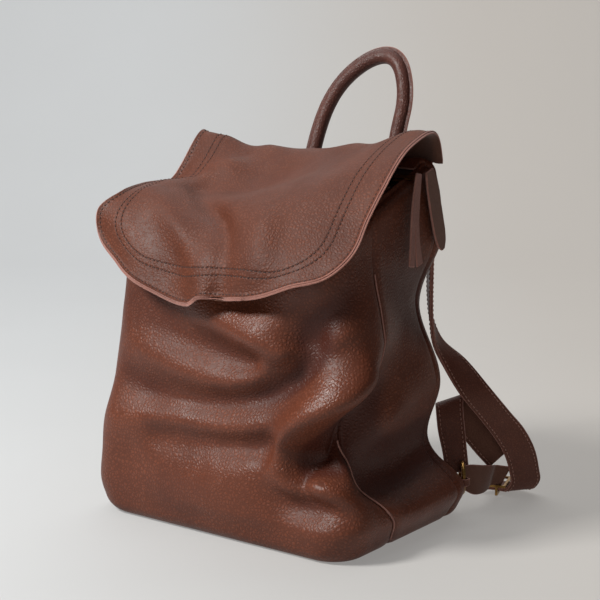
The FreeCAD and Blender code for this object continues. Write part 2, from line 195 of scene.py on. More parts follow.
# Folds in the body's leather: ridges and valleys as lines of points, each with how far the
# leather stands out of the plain shape there.
FOLDS = {
    "main_ridge": [(138, -48, 196, 4), (140, -60, 176, 8), (139, -68, 158, 11), (136, -82, 146, 13),
                   (127, -94, 136, 14), (112, -103, 125, 14), (96, -104, 114, 13), (83, -105, 100, 12),
                   (74, -106, 84, 9), (70, -108, 66, 5)],
    "hollow": [(142, -36, 150, -6), (141, -60, 134, -12), (134, -88, 116, -19), (122, -101, 99, -22),
               (110, -106, 84, -18), (102, -108, 68, -9)],
    "low_arc": [(90, -108, 60, 4), (116, -107, 71, 5), (136, -99, 66, 5), (144, -90, 56, 4)],
    "low_valley": [(88, -109, 48, -4), (109, -108, 50, -6), (133, -105, 50, -3)],
    "low_bulge": [(85, -109, 26, 3), (117, -109, 30, 4), (144, -95, 40, 4)],
    "crease": [(136, -66, 246, -3), (134, -79, 232, -6), (123, -95, 217, -9), (106, -102, 201, -11),
               (94, -102, 187, -9)],
    "beside_crease": [(139, -45, 216, 1), (135, -78, 206, -1), (124, -90, 194, -2)],
    "pleat": [(136, -80, 190, 0), (128, -88, 184, -3), (116, -101, 174, -6), (94, -103, 158, -8),
              (64, -103, 141, -7), (31, -103, 132, -5), (-28, -103, 124, -4), (-74, -103, 124, -4),
              (-110, -102, 136, -4)],
    "second_ridge": [(-126, -100, 96, 4), (-111, -105, 101, 5), (-42, -104, 106, 5), (20, -104, 104, 5),
                     (62, -104, 114, 5), (86, -103, 132, 4), (112, -97, 152, 4)],
    "second_valley": [(72, -104, 96, -3), (46, -105, 92, -4), (-11, -106, 90, -2), (-66, -106, 88, -1)],
    "low_ridge": [(-96, -108, 66, 1), (-25, -107, 70, 3), (22, -107, 75, 4), (52, -107, 79, 4)],
    "middle_bulge": [(-84, -101, 164, 3), (-59, -102, 158, 5), (-22, -102, 150, 6), (7, -103, 146, 6),
                     (42, -103, 152, 5), (70, -103, 166, 2)],
    "upper_valley": [(-120, -88, 192, -3), (-60, -100, 184, -3), (-14, -101, 180, -3), (19, -102, 172, -4),
                     (50, -102, 166, -4)],
    "shiny_ridge": [(-20, -100, 200, 5), (18, -101, 194, 9), (52, -102, 184, 12), (84, -102, 182, 9)],
    "shiny_top": [(20, -100, 214, 4), (56, -100, 218, 4), (90, -99, 228, 3), (112, -96, 238, 1)],
    "left_dart": [(-100, -97, 232, -3), (-84, -98, 214, -4), (-75, -99, 196, -4)],
    "side_valley": [(144, -88, 84, -5), (146, -66, 62, -9), (147, -30, 58, -12), (146, 9, 62, -12),
                    (143, 44, 68, -11), (138, 74, 72, -11), (120, 88, 76, -7)],
    "side_shelf": [(148, -73, 44, 3), (150, -27, 32, 8), (150, 21, 34, 9), (148, 66, 28, 10),
                   (130, 92, 26, 5)],
    "side_bulge": [(141, -20, 116, 3), (141, 20, 132, 5), (138, 60, 128, 4), (124, 84, 124, 3)],
    "waist": [(139, -14, 234, -4), (138, 30, 220, -9), (134, 66, 209, -13), (118, 84, 206, -10),
              (80, 85, 208, -3)],
    "upper_bulge": [(140, 20, 322, 1), (141, 60, 300, 3), (140, 66, 266, 2)],
    "left_waist": [(-136, -40, 214, -4), (-137, 20, 208, -7), (-136, 66, 204, -8), (-80, 85, 206, -3)],
    "left_valley": [(-150, -40, 84, -5), (-148, 20, 80, -8), (-144, 70, 84, -6)],
    "left_bulge": [(-144, -30, 130, 5), (-142, 30, 140, 6), (-136, 76, 140, 5)],
    "back_folds": [(-70, 86, 150, 4), (-10, 86, 120, 3), (50, 86, 100, 4)],
    "back_valley": [(-60, 86, 96, -4), (0, 86, 70, -4), (60, 88, 50, -2)],
}

# Flap: across and down the leather as it was cut, then where that point lies.
FLAP_CONTROL = [
    # right edge, from the sewn end to the front corner
    ((140, -25), (131, 71, 334)), ((140, 0), (138, 51, 362)), ((140, 40), (142, 12, 361)),
    ((140, 65), (145, -14, 352)), ((140, 108), (145, -46, 325)), ((140, 148), (140, -69, 293)),
    ((138, 180), (140, -90, 269)), ((125, 209), (122, -108, 249)), ((108, 227), (99, -117, 243)),
    # free edge at the front, with its small pleat
    ((67, 243), (56, -120, 229)), ((26, 243), (17, -121, 226)), ((10, 243), (2, -125, 226)),
    ((0, 243), (-8, -122, 218)), ((-20, 243), (-30, -119, 218)), ((-67, 243), (-75, -118, 231)),
    # left edge, lifted into a lobe and folded down over the bag's shoulder
    ((-107, 228), (-112, -108, 250)), ((-131, 200), (-140, -99, 272)), ((-139, 180), (-143, -96, 293)),
    ((-140, 160), (-131, -82, 305)), ((-140, 135), (-137, -60, 309)), ((-140, 110), (-145, -36, 310)),
    ((-140, 82), (-146, -10, 312)), ((-140, 64), (-143, 6, 314)), ((-140, 44), (-140, 22, 328)),
    ((-140, 0), (-138, 55, 361)), ((-140, -25), (-138, 71, 336)),
    # sewn end and the crest over the back edge
    ((0, -25), (0, 72, 330)), ((-70, -25), (-70, 72, 330)), ((70, -25), (70, 72, 333)),
    ((-102, 0), (-102, 52, 357)), ((-55, 0), (-55, 55, 350)), ((0, 0), (0, 55, 348)),
    ((52, 0), (52, 55, 354)), ((118, 0), (118, 55, 365)),
    # left of the middle: down from the crest, up to the lobe's ridge and over it
    ((-105, 34), (-104, 27, 338)), ((-105, 56), (-106, 9, 325)), ((-105, 78), (-108, -11, 320)),
    ((-107, 100), (-112, -32, 317)), ((-107, 130), (-113, -61, 312)), ((-107, 157), (-114, -85, 301)),
    ((-107, 185), (-114, -103, 279)), ((-70, 30), (-71, 33, 338)), ((-70, 48), (-73, 17, 338)),
    ((-70, 70), (-76, 1, 327)), ((-70, 92), (-78, -18, 309)), ((-70, 120), (-80, -45, 310)),
    ((-70, 150), (-82, -75, 299)), ((-70, 185), (-80, -99, 273)), ((-70, 213), (-78, -110, 251)),
    ((-30, 16), (-30, 41, 346)), ((-32, 50), (-35, 14, 322)), ((-34, 80), (-39, -14, 310)),
    ((-36, 115), (-41, -48, 306)),
    # middle, sagging on to the closed top, then a soft ridge that runs down to the pleat
    ((0, 30), (0, 28, 337)), ((0, 60), (-1, 2, 320)), ((0, 95), (-3, -34, 312)), ((0, 128), (-4, -64, 306)),
    ((24, 168), (22, -95, 285)), ((14, 200), (8, -113, 260)), ((-18, 165), (-20, -86, 284)),
    ((-28, 200), (-32, -103, 256)), ((-40, 222), (-46, -110, 238)),
    # right of the middle, a plain slope
    ((70, 30), (70, 28, 350)), ((70, 75), (72, -15, 336)), ((70, 122), (75, -58, 315)),
    ((70, 165), (76, -90, 286)), ((70, 205), (74, -112, 254)), ((108, 100), (110, -38, 331)),
]

# Folds in the flap: across and down the leather as it was cut, and the rise there.
FLAP_FOLDS = [
    [(-96, 136, 3), (-62, 157, 6), (-38, 178, 7), (-12, 204, 4), (8, 232, 2)],
    [(-70, 106, -3), (-40, 128, -7), (-12, 152, -10), (16, 184, -9), (26, 214, -6), (27, 240, -4)],
    [(34, 140, 2), (50, 172, 5), (56, 206, 3), (60, 236, 1)],
    [(-136, 62, -2), (-105, 66, -3), (-75, 74, -2), (-45, 84, -1)],
    [(-130, 104, 1), (-100, 108, 2), (-72, 114, 2), (-48, 128, 1)],
]

HANDLE_FOOT = (0, 80.0, 324.0)
HANDLE_LEAN = math.radians(16)
HANDLE_ROUTE = [(-24, 0), (-23, 42), (-7, 88), (28, 116), (58, 116), (74, 78), (70, 38), (70, 0)]

# Right shoulder strap: its near edge and its far edge, from the top down to the turn on the
# floor and in to the buckle.
STRAP_EDGES = [
    ((110, 76.5, 317), (88, 77.5, 317)),
    ((109, 79, 306), (87, 87, 306)),
    ((108, 90, 286), (87, 111, 286)),
    ((106, 100, 262), (88, 124, 262)),
    ((105, 102, 232), (87, 126, 232)),
    ((106, 100, 202), (89, 124, 202)),
    ((108, 98, 180), (93, 123, 181)),
    ((110, 100, 160), (102, 127, 160)),
    ((118, 107, 137), (125, 134, 141)),
    ((134, 115, 108), (152, 138, 114)),
    ((147, 130, 84), (167, 149, 92)),
    ((156, 142, 65), (177, 162, 73)),
    ((162, 152, 47), (183, 173, 52)),
    ((164, 160, 28), (184, 182, 30)),
    ((163, 165, 15), (183, 187, 16)),
    ((157, 166, 6.5), (175, 189, 6.5)),
    ((147, 165, 6), (158, 192, 6)),
    ((131, 160, 6), (142, 187, 6)),
]
ADJUSTER_EDGES = [
    ((143, 101, 21), (143, 100, 43)),
    ((148, 112, 14), (147, 109, 43)),
    ((150, 128, 11), (152, 124, 40)),
    ((148, 143, 11), (155, 139, 37)),
    ((145, 155, 12), (153, 152, 34)),
    ((152, 164, 11), (164, 161, 32)),
]
TAIL_EDGES = [
    ((127, 97, 36), (145, 110, 36)),
    ((123, 99, 52), (141, 113, 52)),
    ((114, 104, 74), (134, 120, 74)),
    ((108, 110, 91), (128, 126, 97)),
    ((105, 114, 96), (126, 130, 105)),
    ((102, 119, 96), (123, 136, 105)),
    ((113, 128, 78), (131, 142, 97)),
    ((126, 137, 59), (144, 151, 78)),
    ((138, 145, 42), (156, 160, 60)),
    ((146, 150, 32), (161, 164, 50)),
]
# The zip's forked thong and end tab hang in planes across X.
THONG_X = 143.6
THONG_SWAY = 2.0
# Centre lines of the thong's two tails as (y, z), with the half width at each point.
THONG_TAILS = [
    [((11, 331), 3.4), ((6, 312), 3.4), ((2, 290), 3.0), ((0, 269), 3.2), ((-2, 250), 4.0)],
    [((12, 331), 3.4), ((10, 308), 3.0), ((10, 286), 3.0), ((13, 266), 3.6), ((18, 249), 4.6)],
]
END_TAB_X = 144.0
END_TAB = [((29, 333), 6), ((33, 322), 8.0), ((39, 304), 9.0), ((45, 286), 9.0), ((50, 272), 8.0),
           ((53, 264), 5.5), ((55, 260), 2)]


# ---------------------------------------------------------------- mesh helpers
def smooth_values(x, known_x, known_values):
    """Cubic interpolation through known values, one row of values for each known x."""
    known_x = np.asarray(known_x, float)
    values = np.asarray(known_values, float)
    x = np.clip(np.asarray(x, float), known_x[0], known_x[-1])
    slopes = np.gradient(values, known_x, axis=0)
    i = np.clip(np.searchsorted(known_x, x, side="right") - 1, 0, len(known_x) - 2)
    width = known_x[i + 1] - known_x[i]
    t = (x - known_x[i]) / width
    shape = t.shape + (1,) * (values.ndim - 1)
    t = t.reshape(shape)
    width = width.reshape(shape)
    return ((2 * t**3 - 3 * t**2 + 1) * values[i] + (t**3 - 2 * t**2 + t) * width * slopes[i]
            + (3 * t**2 - 2 * t**3) * values[i + 1] + (t**3 - t**2) * width * slopes[i + 1])


def unit(vectors):
    length = np.linalg.norm(vectors, axis=-1, keepdims=True)
    return vectors / np.maximum(length, 1e-9)


def arc_length(points):
    return np.concatenate([[0], np.cumsum(np.linalg.norm(np.diff(points, axis=0), axis=1))])


def smooth_line(points, step):
    """Points every step or so along a smooth line through the given ones."""
    points = np.asarray(points, float)
    along = arc_length(points)
    count = max(int(round(along[-1] / step)), 2)
    return smooth_values(np.linspace(0, along[-1], count + 1), along, points)


def grid_normals(grid, closed=False):
    down = np.gradient(grid, axis=0)
    if closed:
        across = (np.roll(grid, -1, axis=1) - np.roll(grid, 1, axis=1)) / 2
    else:
        across = np.gradient(grid, axis=1)
    return unit(np.cross(across, down))


def grid_faces(index):
    """Four-sided faces between neighbouring points of a grid of point numbers."""
    return np.stack([index[:-1, :-1], index[:-1, 1:], index[1:, 1:], index[1:, :-1]], -1).reshape(-1, 4)


def ring_faces(first, rings, sides):
    """Faces of a closed tube whose points are rings, numbered from the first one."""
    faces = []
    for ring in range(rings - 1):
        near = first + ring * sides
        far = near + sides
        for k in range(sides):
            m = (k + 1) % sides
            faces.append((near + k, near + m, far + m, far + k))
    last = first + (rings - 1) * sides
    faces.append(tuple(first + k for k in range(sides))[::-1])
    faces.append(tuple(last + k for k in range(sides)))
    return faces


def add_mesh(name, points, faces, materials, face_materials=None, sharp=50):
    mesh = bpy.data.meshes.new(name)
    corners = [[int(corner) for corner in face] for face in faces]
    mesh.from_pydata((np.asarray(points) * MM).tolist(), [], corners)
    for material in materials:
        mesh.materials.append(material)
    if face_materials is not None:
        mesh.polygons.foreach_set("material_index", np.asarray(face_materials, np.int32))
    mesh.validate()
    mesh.shade_smooth()
    mesh.set_sharp_from_angle(angle=math.radians(sharp))
    piece = bpy.data.objects.new(name, mesh)
    bpy.context.scene.collection.objects.link(piece)
    return piece


def slab(name, grid, low, high, materials, values=None, bulge=0.35):
    """Closed sheet over a grid of points, from low to high along the grid's normals.
    Materials are for the upper face, the lower face and the cut edge, which bulges by a share
    of the thickness.  Values are fields over the grid, kept with the mesh for its materials."""
    rows, columns = grid.shape[:2]
    count = rows * columns
    normals = grid_normals(grid)
    upper = (grid + normals * high).reshape(-1, 3)
    lower = (grid + normals * low).reshape(-1, 3)
    index = np.arange(count).reshape(rows, columns)
    quads = grid_faces(index)
    loop = np.concatenate([index[0, :-1], index[:-1, -1], index[-1, :0:-1], index[:0:-1, 0]])
    inside = np.concatenate([index[1, :-1], index[:-1, -2], index[-2, :0:-1], index[:0:-1, 1]])
    flat = grid.reshape(-1, 3)
    outward = unit(flat[loop] - flat[inside])
    middle = (upper[loop] + lower[loop]) / 2 + outward * bulge * (high - low)
    following = np.roll(loop, -1)
    here = 2 * count + np.arange(len(loop))
    ahead = np.roll(here, -1)
    rim_upper = np.stack([loop, here, ahead, following], -1)
    rim_lower = np.stack([here, loop + count, following + count, ahead], -1)
    points = np.concatenate([upper, lower, middle])
    faces = np.concatenate([quads, quads[:, ::-1] + count, rim_upper, rim_lower])
    kinds = np.repeat([0, 1, 2], [len(quads), len(quads), 2 * len(loop)])
    piece = add_mesh(name, points, faces, materials, kinds)
    for key, field in (values or {}).items():
        field = np.asarray(field, np.float32).reshape(-1)
        attribute = piece.data.attributes.new(key, "FLOAT", "POINT")
        attribute.data.foreach_set("value", np.concatenate([field, field, field[loop]]))
    return piece


def tube_mesh(name, line, radius, material, sides, up):
    """Round tube along a dense line of points, closed at both ends."""
    along = unit(np.gradient(line, axis=0))
    side = unit(np.cross(along, np.array(up, float)))
    above = np.cross(side, along)
    turns = np.linspace(0, 2 * math.pi, sides, endpoint=False)
    rings = (line[:, None] + side[:, None] * (np.cos(turns) * radius)[:, None]
             + above[:, None] * (np.sin(turns) * radius)[:, None])
    return add_mesh(name, rings.reshape(-1, 3), ring_faces(0, len(line), sides), [material])


def value_at(distance, along, values):
    """Rows of values read at a distance along their line."""
    return np.array([np.interp(distance, along, values[:, k]) for k in range(3)])


def stitch_mesh(name, lines, material):
    """Thread stitches along lines, each given as points and the surface's normals there."""
    turns = np.linspace(0, 2 * math.pi, STITCH_SIDES, endpoint=False)
    points = []
    faces = []
    for line, normals in lines:
        along = arc_length(line)
        count = int(along[-1] / STITCH_PITCH)
        for place in (np.arange(count) + 0.5) * along[-1] / max(count, 1):
            centre = value_at(place, along, line)
            direction = unit(value_at(place + 1, along, line) - value_at(place - 1, along, line))
            normal = unit(value_at(place, along, normals))
            side = np.cross(direction, normal)
            faces += ring_faces(len(points), len(STITCH_PROFILE), STITCH_SIDES)
            for offset, size, lift in STITCH_PROFILE:
                middle = centre + direction * offset * STITCH_LENGTH + normal * lift * THREAD_RADIUS
                for turn in turns:
                    spoke = side * math.cos(turn) + normal * math.sin(turn)
                    points.append(middle + size * THREAD_RADIUS * spoke)
    return add_mesh(name, points, faces, [material])


def thin_plate(flat, values, smoothing):
    """Smoothest bending surface through values given at flat points; returns its function."""
    flat = np.asarray(flat, float)
    values = np.asarray(values, float)

    def kernel(distance):
        squared = distance**2
        return 0.5 * squared * np.log(np.maximum(squared, 1e-9))

    count = len(flat)
    between = np.linalg.norm(flat[:, None] - flat[None, :], axis=2)
    linear = np.concatenate([np.ones((count, 1)), flat], axis=1)
    system = np.zeros((count + 3, count + 3))
    system[:count, :count] = kernel(between) + smoothing * np.eye(count)
    system[:count, count:] = linear
    system[count:, :count] = linear.T
    solved = np.linalg.solve(system, np.concatenate([values, np.zeros((3, values.shape[1]))]))

    def surface(points):
        points = np.asarray(points, float)
        shape = points.shape[:-1]
        points = points.reshape(-1, 2)
        distance = np.linalg.norm(points[:, None] - flat[None, :], axis=2)
        result = kernel(distance) @ solved[:count]
        result += np.concatenate([np.ones((len(points), 1)), points], axis=1) @ solved[count:]
        return result.reshape(*shape, -1)

    return surface


def field_noise(points, size, seed):
    """Smooth noise of about -1 to 1 at each point, for lumps of the given size."""
    flat = points.reshape(-1, 3) / size
    offset = Vector((seed * 17.3, seed * 5.1, seed * 9.7))
    values = [noise.noise(Vector(point) + offset) for point in flat]
    return np.array(values).reshape(points.shape[:-1])


def finish_piece(piece, body, slot, *nodes):
    """Hang a piece on a body and hide the frame's pieces it stands for; the slot is not used."""
    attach(piece, body)
    if nodes:
        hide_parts(*nodes)


def node_box(node):
    """Opposite corners of a frame node's box, in millimetres."""
    low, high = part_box(node)
    return np.array(low) / MM, np.array(high) / MM


# ---------------------------------------------------------------- materials
class Shader:
    """A material whose nodes are added by name, with values or other nodes' outputs as inputs."""

    def __init__(self, name):
        self.material = bpy.data.materials.new(name)
        self.material.use_nodes = True
        self.tree = self.material.node_tree
        self.tree.nodes.clear()
        self.output = self.tree.nodes.new("ShaderNodeOutputMaterial")
        self.place = self.add("TexCoord", out="Object")

    def add(self, kind, out=0, settings=None, **inputs):
        node = self.tree.nodes.new("ShaderNode" + kind)
        for key, value in (settings or {}).items():
            setattr(node, key, value)
        for key, value in inputs.items():
            numbered = key.startswith("at") and key[2:].isdigit()
            self.give(node.inputs[int(key[2:]) if numbered else key.replace("_", " ")], value)
        return node.outputs[out]

    def give(self, socket, value):
        """Link another node's output to a socket, or set the socket's own value."""
        if isinstance(value, bpy.types.NodeSocket):
            self.tree.links.new(value, socket)
        else:
            socket.default_value = value

    def math(self, operation, a, b=0.0):
        return self.add("Math", settings={"operation": operation}, at0=a, at1=b)

    def scaled(self, value, low, high, to_low=0.0, to_high=1.0, smooth=False):
        kind = "SMOOTHSTEP" if smooth else "LINEAR"
        return self.add("MapRange", out="Result", settings={"interpolation_type": kind}, Value=value,
                        From_Min=low, From_Max=high, To_Min=to_low, To_Max=to_high)

    def mix(self, factor, a, b):
        node = self.tree.nodes.new("ShaderNodeMix")
        node.data_type = "RGBA"
        for k, value in ((0, factor), (6, a), (7, b)):
            self.give(node.inputs[k], value)
        return node.outputs[2]

    def noise(self, scale, detail=2.0, roughness=0.5, out=0):
        return self.add("TexNoise", out=out, Vector=self.place, Scale=scale, Detail=detail,
                        Roughness=roughness)

    def cells(self, vector, scale, randomness):
        """Distance to the nearest edge between rounded cells."""
        return self.add("TexVoronoi", settings={"feature": "DISTANCE_TO_EDGE"}, Vector=vector,
                        Scale=scale, Randomness=randomness)

    def attribute(self, name):
        return self.add("Attribute", out="Fac", settings={"attribute_name": name})

    def bump(self, height, distance, strength):
        return self.add("Bump", Height=height, Distance=distance, Strength=strength)

    def surface(self, **inputs):
        shader = self.add("BsdfPrincipled", **inputs)
        self.tree.links.new(shader, self.output.inputs["Surface"])
        return self.material


def colour(red, green, blue):
    """Linear colour with alpha from display values of 0 to 255."""
    def linear(value):
        value /= 255
        return value / 12.92 if value <= 0.04045 else ((value + 0.055) / 1.055) ** 2.4
    return (linear(red), linear(green), linear(blue), 1.0)


def scaled_colour(tone, factor):
    return tuple(factor * c for c in tone[:3]) + (1.0,)


def leather(name, light, dark, cell=3.4, depth=0.42, roughness=0.50, shine=0.34, folds=True, grooves=()):
    """Pebbled leather: rounded cells about cell millimetres across between fine creases, over slow
    changes of tone and gloss.  Folds get painted shade where the leather sinks and a lighter tone on
    their ridges, part wear and part painted highlight.  Each groove is a sewn line at that distance
    inside the piece's edge, darkened with painted shade."""
    shader = Shader(name)
    drift = shader.noise(260.0, 2.0, out=1)
    moved = shader.add("VectorMath", settings={"operation": "MULTIPLY_ADD"}, at0=drift,
                       at1=(0.0022, 0.0022, 0.0022), at2=shader.place)
    pebbles = shader.scaled(shader.cells(moved, 1000.0 / cell, 0.95), 0.0, 0.42, smooth=True)
    small_pebbles = shader.scaled(shader.cells(moved, 2100.0 / cell, 1.0), 0.0, 0.40, smooth=True)
    pores = shader.noise(3200.0, 2.0)
    firmness = shader.scaled(shader.noise(55.0, 3.0), 0.35, 0.7, 0.55, 1.0)
    height = shader.math("ADD", shader.math("MULTIPLY", pebbles, 0.84),
                         shader.math("MULTIPLY", small_pebbles, 0.16))
    height = shader.math("MULTIPLY", height, firmness)
    height = shader.math("ADD", height, shader.math("MULTIPLY", pores, 0.025))
    pulled = []
    for groove in grooves:
        gap = shader.math("ABSOLUTE", shader.math("SUBTRACT", shader.attribute("inset"), groove))
        pulled.append(shader.scaled(gap, 0.0, 1.5, 1.0, 0.0, smooth=True))
        height = shader.math("SUBTRACT", height, shader.math("MULTIPLY", pulled[-1], 0.9))
    normal = shader.bump(height, depth * MM, 1.0)

    cloudy = shader.noise(14.0, 4.0, 0.6)
    tone = shader.mix(shader.scaled(cloudy, 0.3, 0.72), dark, light)
    # Dark tone for the grain's creases, and for painted shade in the sewn grooves.
    grain_crease_and_groove_shade = scaled_colour(dark, 0.45)
    in_crease = shader.scaled(pebbles, 0.0, 0.8, 0.55, 0.0)
    tone = shader.mix(in_crease, tone, grain_crease_and_groove_shade)
    # Painted shade darkens each sewn groove.
    for groove in pulled:
        tone = shader.mix(shader.math("MULTIPLY", groove, 0.22), tone, grain_crease_and_groove_shade)
    gloss = shader.scaled(shader.noise(24.0, 3.0), 0.3, 0.7, roughness - 0.06, roughness + 0.08)
    if folds:
        ridge = shader.attribute("ridge")
        # Ridges are painted lighter: part wear, part painted highlight.
        ridge_wear_and_highlight = shader.scaled(ridge, 0.2, 1.0, 0.0, 0.12, smooth=True)
        # Painted shade: the leather is darkened where the folds sink.
        painted_fold_shade = shader.scaled(ridge, -1.0, 0.0, 0.8, 0.0, smooth=True)
        tone = shader.mix(ridge_wear_and_highlight, tone, scaled_colour(light, 1.35))
        gloss = shader.math("SUBTRACT", gloss, shader.scaled(ridge, 0.1, 0.9, 0.0, 0.06, smooth=True))
        tone = shader.mix(painted_fold_shade, tone, (0.4 * dark[0], 0.25 * dark[1], 0.2 * dark[2], 1.0))
    return shader.surface(Base_Color=tone, Roughness=gloss, Normal=normal, Specular_IOR_Level=shine)


def suede(name, light, dark):
    """Brushed flesh side or cut edge: short matted fibres."""
    shader = Shader(name)
    fibres = shader.noise(900.0, 5.0, 0.75)
    patches = shader.noise(60.0, 3.0)
    tone = shader.mix(shader.scaled(fibres, 0.3, 0.7), dark, light)
    tone = shader.mix(shader.scaled(patches, 0.35, 0.75, 0.0, 0.35), tone, dark)
    normal = shader.bump(fibres, 0.35 * MM, 0.8)
    return shader.surface(Base_Color=tone, Roughness=0.9, Normal=normal, Specular_IOR_Level=0.2,
                          Sheen_Weight=0.3, Sheen_Roughness=0.4)


def thread(name, tone):
    shader = Shader(name)
    twist = shader.noise(2600.0, 1.0)
    mixed = shader.mix(shader.scaled(twist, 0.35, 0.65), scaled_colour(tone, 0.6), tone)
    return shader.surface(Base_Color=mixed, Roughness=0.6, Normal=shader.bump(twist, 0.2 * MM, 0.6))


def brass(name):
    """Antique brass: brown patina in slow patches, finely scratched."""
    shader = Shader(name)
    patina = shader.noise(160.0, 4.0, 0.65)
    scratches = shader.noise(1800.0, 3.0, 0.7)
    tone = shader.mix(shader.scaled(patina, 0.4, 0.7), colour(176, 138, 78), colour(112, 82, 45))
    rough = shader.scaled(scratches, 0.3, 0.7, 0.22, 0.42)
    return shader.surface(Base_Color=tone, Metallic=1.0, Roughness=rough,
                          Normal=shader.bump(scratches, 0.08 * MM, 0.4))


def woven_tape(name, tone):
    """Zip tape: a fine herringbone of yarns."""
    shader = Shader(name)
    wave = shader.add("TexWave", settings={"wave_type": "BANDS", "bands_direction": "DIAGONAL"},
                      Vector=shader.place, Scale=420.0, Distortion=1.2, Detail=1.0, Detail_Scale=8.0)
    fuzz = shader.noise(1500.0, 3.0)
    mixed = shader.mix(wave, scaled_colour(tone, 0.5), tone)
    height = shader.math("ADD", wave, shader.math("MULTIPLY", fuzz, 0.4))
    return shader.surface(Base_Color=mixed, Roughness=0.85, Normal=shader.bump(height, 0.25 * MM, 0.7))


def plain_board(name):
    shader = Shader(name)
    speckle = shader.noise(700.0, 4.0, 0.7)
    tone = shader.mix(shader.scaled(speckle, 0.35, 0.65), colour(86, 70, 52), colour(120, 100, 76))
    return shader.surface(Base_Color=tone, Roughness=0.9, Normal=shader.bump(speckle, 0.1 * MM, 0.5))


def make_materials():
    return {
        "body": leather("body_leather", colour(116, 62, 41), colour(94, 46, 28)),
        "flap": leather("flap_leather", colour(112, 62, 43), colour(91, 47, 31), cell=3.0, depth=0.40,
                        roughness=0.52, shine=0.26, folds=False, grooves=STITCH_INSETS),
        "strap": leather("strap_leather", colour(122, 70, 52), colour(97, 51, 36), cell=2.2, depth=0.3,
                         folds=False, grooves=(STRAP_STITCH_INSET,)),
        "handle": leather("handle_leather", colour(106, 62, 52), colour(80, 44, 36), cell=2.6, depth=0.45,
                          roughness=0.46, folds=False),
        "tab": leather("tab_leather", colour(100, 54, 44), colour(76, 38, 30), cell=2.6, depth=0.45,
                       folds=False),
        "edge": suede("raw_edge", colour(178, 130, 118), colour(132, 88, 78)),
        "thong": suede("thong_suede", colour(150, 106, 96), colour(112, 74, 66)),
        "inside": suede("suede_inside", colour(120, 84, 70), colour(84, 55, 45)),
        "thread": thread("brown_thread", colour(60, 34, 27)),
        "pale_thread": thread("pale_thread", colour(176, 130, 116)),
        "brass": brass("antique_brass"),
        "tape": woven_tape("zip_tape", colour(66, 42, 34)),
        "board": plain_board("base_board"),
    }


# ---------------------------------------------------------------- body
def rim_height(y):
    """The body's top slopes up from front to back."""
    return RIM_FRONT_Z + RIM_SLOPE * (y - RIM_FRONT_Y)


def body_outline(height):
    """Dense closed outline of the body at a height, from the front left corner anticlockwise."""
    heights = [section[0] for section in BODY_SECTIONS]
    corners = smooth_values([height], heights, [section[1:5] for section in BODY_SECTIONS])[0]
    radii = smooth_values([height], heights, [section[5] for section in BODY_SECTIONS])[0]
    points = []
    for k in range(4):
        corner = corners[k]
        back = unit(corners[k - 1] - corner)
        ahead = unit(corners[(k + 1) % 4] - corner)
        half = math.acos(float(np.clip(back @ ahead, -1, 1))) / 2
        centre = corner + unit(back + ahead) * radii[k] / math.sin(half)
        start = corner + back * radii[k] / math.tan(half) - centre
        end = corner + ahead * radii[k] / math.tan(half) - centre
        first = math.atan2(start[1], start[0])
        last = math.atan2(end[1], end[0])
        if last < first:
            last += 2 * math.pi
        for turn in np.linspace(first, last, CORNER_POINTS):
            points.append(centre + radii[k] * np.array([math.cos(turn), math.sin(turn)]))
    return np.array(points)


def panel_fractions(cells):
    """Even spacing across a panel, drawn together beside its two seams."""
    even = np.linspace(0, 1, cells + 1)
    return even - SEAM_CROWDING * np.sin(2 * math.pi * even) / (2 * math.pi)


def seam_y(seam, height):
    """How far back a seam lies at a height."""
    return np.interp(height, [h for h, _ in seam], [y for _, y in seam])


def outline_columns(height):
    """Points of the outline at a height, one for each column of the four panels."""
    outline = body_outline(height)
    closed = np.vstack([outline, outline[:1]])
    along = arc_length(closed)
    total = along[-1]
    right_side = closed[:, 0] > FAR_SIDE
    # The outline starts at the front left corner, and its first part belongs to the front.
    left_side = (closed[:, 0] < -FAR_SIDE) & (along > total * 0.2)

    def reach(side, seam, sign):
        """How far along the outline it meets a seam, where y rises (1) or falls (-1) along the side."""
        return np.interp(sign * seam_y(seam, height), sign * closed[side, 1], along[side])

    stops = [reach(right_side, RIGHT_SEAM, 1), reach(right_side, BACK_SEAM, 1),
             reach(left_side, BACK_SEAM, -1), reach(left_side, LEFT_SEAM, -1)]
    stops = [stops[3] - total] + stops
    wanted = []
    for k, cells in enumerate(CELLS):
        wanted.append(stops[k] + (stops[k + 1] - stops[k]) * panel_fractions(cells)[:-1])
    wanted = np.mod(np.concatenate(wanted), total)
    return np.stack([np.interp(wanted, along, closed[:, 0]), np.interp(wanted, along, closed[:, 1])], -1)


def body_grid():
    """Points of the body's side walls: rows from the base to the rim, columns all round."""
    levels = np.arange(0, BODY_SECTIONS[-1][0] + 1, LEVEL_STEP)
    table = np.array([outline_columns(level) for level in levels])
    count = table.shape[1]

    def outline_at(heights, axis):
        """Each column's x or y at its own height."""
        return np.array([np.interp(heights[j], levels, table[:, j, axis]) for j in range(count)])

    # The rim's height depends on y there, and y on the height, so it is found by repetition.
    top = np.full(count, 300.0)
    for _ in range(12):
        top = rim_height(outline_at(top, 1))
    arc = np.linspace(0, math.pi / 2, ROUND_ROWS + 1)[:-1]
    rows = []
    for turn in arc:
        height = np.full(count, BOTTOM_ROUND * (1 - math.cos(turn)))
        rows.append((height, BOTTOM_ROUND * (1 - math.sin(turn))))
    for fraction in np.linspace(0, 1, WALL_ROWS):
        rows.append((BOTTOM_ROUND + (top - RIM_ROUND - BOTTOM_ROUND) * fraction, 0))
    for turn in arc[1:]:
        rows.append((top - RIM_ROUND * (1 - math.sin(turn)), RIM_ROUND * (1 - math.cos(turn))))
    rows.append((top, RIM_ROUND))
    grid = []
    for height, inset in rows:
        flat = np.stack([outline_at(height, 0), outline_at(height, 1)], -1)
        tangent = unit(np.roll(flat, -1, axis=0) - np.roll(flat, 1, axis=0))
        outward = np.stack([tangent[:, 1], -tangent[:, 0]], -1)
        grid.append(np.concatenate([flat - outward * inset, height[:, None]], -1))
    return np.array(grid)


